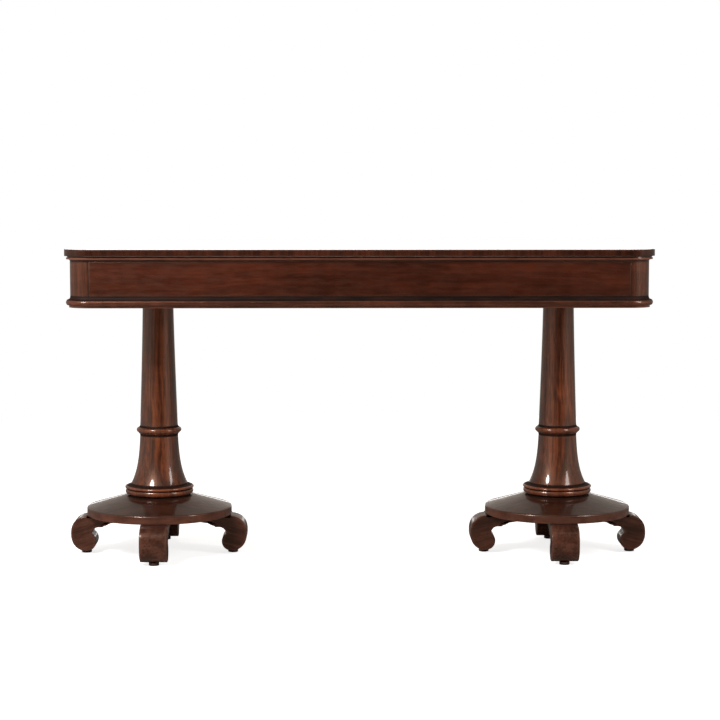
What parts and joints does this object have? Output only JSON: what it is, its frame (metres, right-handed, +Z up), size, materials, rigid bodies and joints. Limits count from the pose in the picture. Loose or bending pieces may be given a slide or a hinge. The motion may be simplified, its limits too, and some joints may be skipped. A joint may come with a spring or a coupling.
{
  "type": "writing desk",
  "caption": "Writing desk in dark polished mahogany: rectangular top with rounded corners and frieze drawers, on turned column pedestals with domed round platforms and scroll feet.",
  "frame": {"origin": "on the floor, under the middle of the top", "axes": "+X along the desk, +Y towards the sitter (the way the drawers open), +Z up"},
  "size_m": [1.4166, 0.6722, 0.76],
  "materials": {
    "mahogany_veneer": "dark red-brown mahogany veneer under polished lacquer",
    "mahogany_solid": "dark red-brown solid mahogany, polished, with darker recesses",
    "secondary_wood": "pale straight-grained wood, thin matt lacquer",
    "antique_brass": "aged brass, darker in the recesses",
    "zinc_plated_steel": "zinc-plated sheet steel",
    "brown_plastic": "dark brown moulded plastic"
  },
  "bodies": {
    "desk": {"table_top": "mahogany_veneer", "top_frame_front_rail": "mahogany_solid", "top_frame_back_rail": "mahogany_solid", "top_frame_left_rail": "mahogany_solid", "top_frame_right_rail": "mahogany_solid", "base_frame_front_rail": "mahogany_solid", "base_frame_back_rail": "mahogany_solid", "base_frame_left_rail": "mahogany_solid", "base_frame_right_rail": "mahogany_solid", "corner_post_front_left": "mahogany_solid", "corner_post_front_right": "mahogany_solid", "corner_post_back_left": "mahogany_solid", "corner_post_back_right": "mahogany_solid", "back_frieze": "mahogany_veneer", "end_frieze_left": "mahogany_veneer", "end_frieze_right": "mahogany_veneer", "drawer_divider": "mahogany_veneer", "centre_runner": "secondary_wood", "centre_kicker": "secondary_wood", "drawer_guide_left": "secondary_wood", "drawer_guide_right": "secondary_wood", "cross_bearer_left": "secondary_wood", "mounting_plate_left": "zinc_plated_steel", "column_left": "mahogany_solid", "platform_left": "mahogany_solid", "foot_left_outer": "mahogany_solid", "glide_left_outer": "brown_plastic", "foot_left_front": "mahogany_solid", "glide_left_front": "brown_plastic", "foot_left_inner": "mahogany_solid", "glide_left_inner": "brown_plastic", "foot_left_back": "mahogany_solid", "glide_left_back": "brown_plastic", "cross_bearer_right": "secondary_wood", "mounting_plate_right": "zinc_plated_steel", "column_right": "mahogany_solid", "platform_right": "mahogany_solid", "foot_right_outer": "mahogany_solid", "glide_right_outer": "brown_plastic", "foot_right_front": "mahogany_solid", "glide_right_front": "brown_plastic", "foot_right_inner": "mahogany_solid", "glide_right_inner": "brown_plastic", "foot_right_back": "mahogany_solid", "glide_right_back": "brown_plastic"},
    "drawer_left": {"drawer_left_front": "mahogany_veneer", "drawer_left_left_side": "secondary_wood", "drawer_left_right_side": "secondary_wood", "drawer_left_back": "secondary_wood", "drawer_left_bottom": "secondary_wood", "drawer_left_left_knob": "antique_brass", "drawer_left_right_knob": "antique_brass"},
    "drawer_right": {"drawer_right_front": "mahogany_veneer", "drawer_right_left_side": "secondary_wood", "drawer_right_right_side": "secondary_wood", "drawer_right_back": "secondary_wood", "drawer_right_bottom": "secondary_wood", "drawer_right_left_knob": "antique_brass", "drawer_right_right_knob": "antique_brass"}
  },
  "joints": [
    {"name": "drawer_left_slide", "type": "slide", "parent": "desk", "child": "drawer_left", "axis": [0, 1, 0], "range_m": [0, 0.4]},
    {"name": "drawer_right_slide", "type": "slide", "parent": "desk", "child": "drawer_right", "axis": [0, 1, 0], "range_m": [0, 0.4]}
  ]
}
